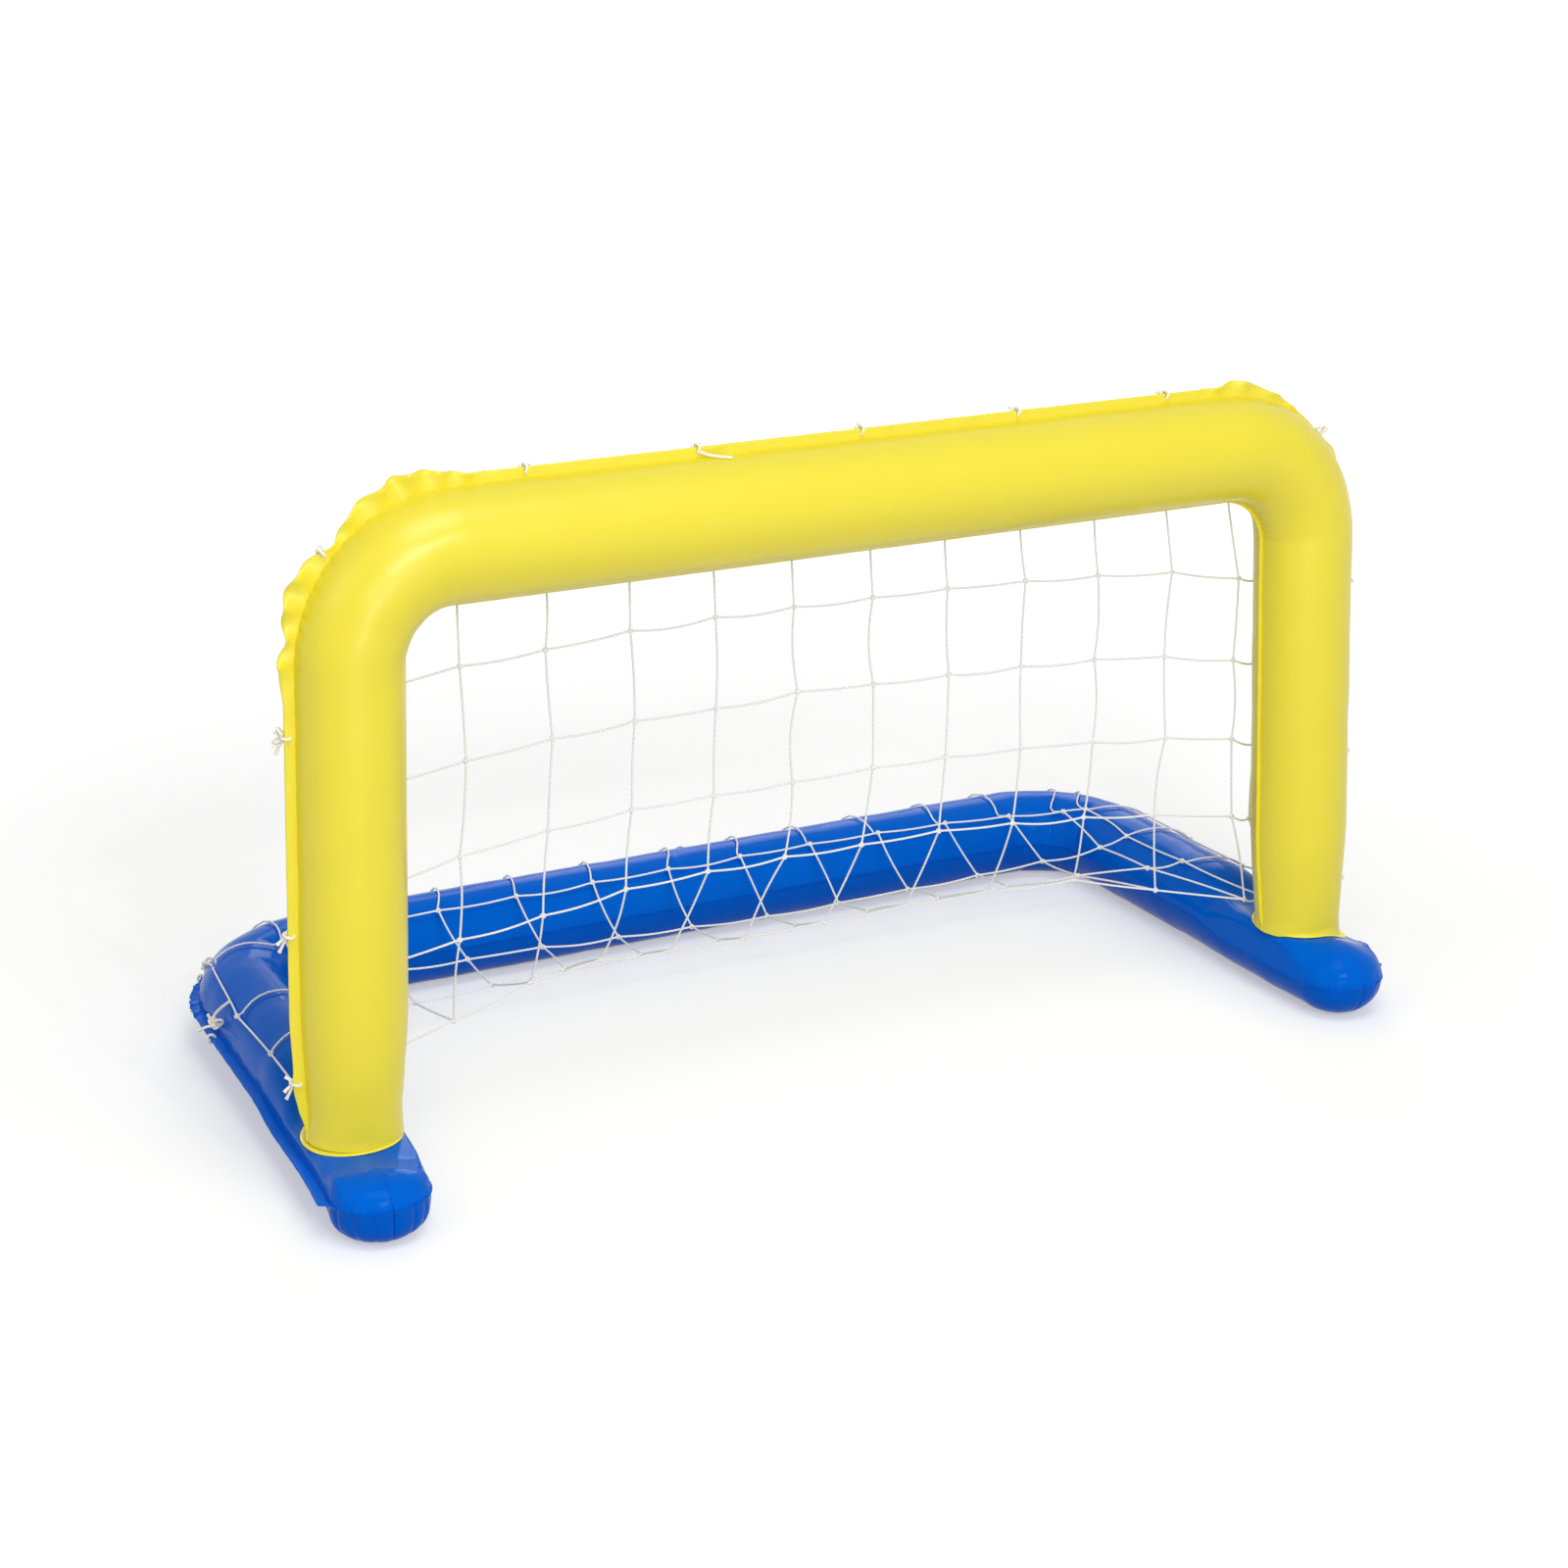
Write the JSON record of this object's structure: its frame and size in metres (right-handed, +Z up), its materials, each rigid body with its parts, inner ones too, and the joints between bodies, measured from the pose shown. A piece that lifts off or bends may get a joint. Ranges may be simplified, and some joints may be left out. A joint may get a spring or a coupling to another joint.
{
  "type": "inflatable water polo goal",
  "caption": "Inflatable water polo goal: a yellow welded vinyl arch standing on a blue U-shaped tube base, with a white knotted net laced to the weld flanges.",
  "frame": {"origin": "under the middle of the bounding box, on the floor", "axes": "+X along the goal's width, to the right seen from the front; -Y is the mouth's side; +Z up"},
  "size_m": [1.4182, 0.7883, 0.8085],
  "materials": {
    "base vinyl": "glossy",
    "base vinyl underside": "glossy",
    "arch vinyl": "satin",
    "arch vinyl rear": "satin",
    "foot patch vinyl": "satin",
    "net twine": "matt twisted cord",
    "arch valve vinyl": "glossy",
    "base valve vinyl": "glossy"
  },
  "bodies": {
    "goal": {"base_bottom_panel": "base vinyl underside", "base_top_panel": "base vinyl", "arch_front_panel": "arch vinyl", "arch_rear_panel": "arch vinyl rear", "left_foot_patch": "foot patch vinyl", "right_foot_patch": "foot patch vinyl", "net_top": "net twine", "net_left_edge": "net twine", "net_right_edge": "net twine", "net_back": "net twine", "net_slope": "net twine", "net_apron": "net twine", "net_left_leg": "net twine", "net_right_leg": "net twine", "net_rear_left": "net twine", "net_rear_right": "net twine", "top_tie_1": "net twine", "top_tie_2": "net twine", "top_tie_3": "net twine", "top_tie_4": "net twine", "top_tie_5": "net twine", "rear_tie_1": "net twine", "rear_tie_2": "net twine", "rear_tie_3": "net twine", "rear_tie_4": "net twine", "rear_tie_5": "net twine", "left_post_tie_1": "net twine", "left_post_tie_2": "net twine", "left_post_tie_3": "net twine", "left_arch_corner_tie": "net twine", "left_base_corner_tie": "net twine", "left_leg_tie": "net twine", "right_post_tie_1": "net twine", "right_post_tie_2": "net twine", "right_post_tie_3": "net twine", "right_arch_corner_tie": "net twine", "right_base_corner_tie": "net twine", "right_leg_tie": "net twine", "arch_valve_seat": "arch valve vinyl", "base_valve_seat": "base valve vinyl"},
    "arch_stem": {"arch_valve_stem": "arch valve vinyl", "arch_plug_strap": "arch valve vinyl"},
    "arch_plug": {"arch_valve_plug": "arch valve vinyl"},
    "arch_flap": {"arch_check_flap": "arch valve vinyl"},
    "base_stem": {"base_valve_stem": "base valve vinyl", "base_plug_strap": "base valve vinyl"},
    "base_plug": {"base_valve_plug": "base valve vinyl"},
    "base_flap": {"base_check_flap": "base valve vinyl"}
  },
  "joints": [
    {"name": "arch_stem_slide", "type": "slide", "parent": "goal", "child": "arch_stem", "axis": [0, 1, 0], "range_m": [-0.0068, 0]},
    {"name": "arch_plug_slide", "type": "slide", "parent": "arch_stem", "child": "arch_plug", "axis": [0, 1, 0], "range_m": [0, 0.009]},
    {"name": "arch_flap_hinge", "type": "hinge", "parent": "arch_stem", "child": "arch_flap", "pos_m": [0.0034, -0.17955, 0.717], "axis": [0, 0, 1], "range_deg": [0, 60], "stiffness_Nm_per_rad": 0.0005},
    {"name": "base_stem_slide", "type": "slide", "parent": "goal", "child": "base_stem", "axis": [0, 0.866, 0.5], "range_m": [-0.0068, 0]},
    {"name": "base_plug_slide", "type": "slide", "parent": "base_stem", "child": "base_plug", "axis": [0, 0.866, 0.5], "range_m": [0, 0.009]},
    {"name": "base_flap_hinge", "type": "hinge", "parent": "base_stem", "child": "base_flap", "pos_m": [0.0434, 0.34818, 0.07873], "axis": [0, -0.5, 0.866], "range_deg": [0, 60], "stiffness_Nm_per_rad": 0.0005}
  ]
}
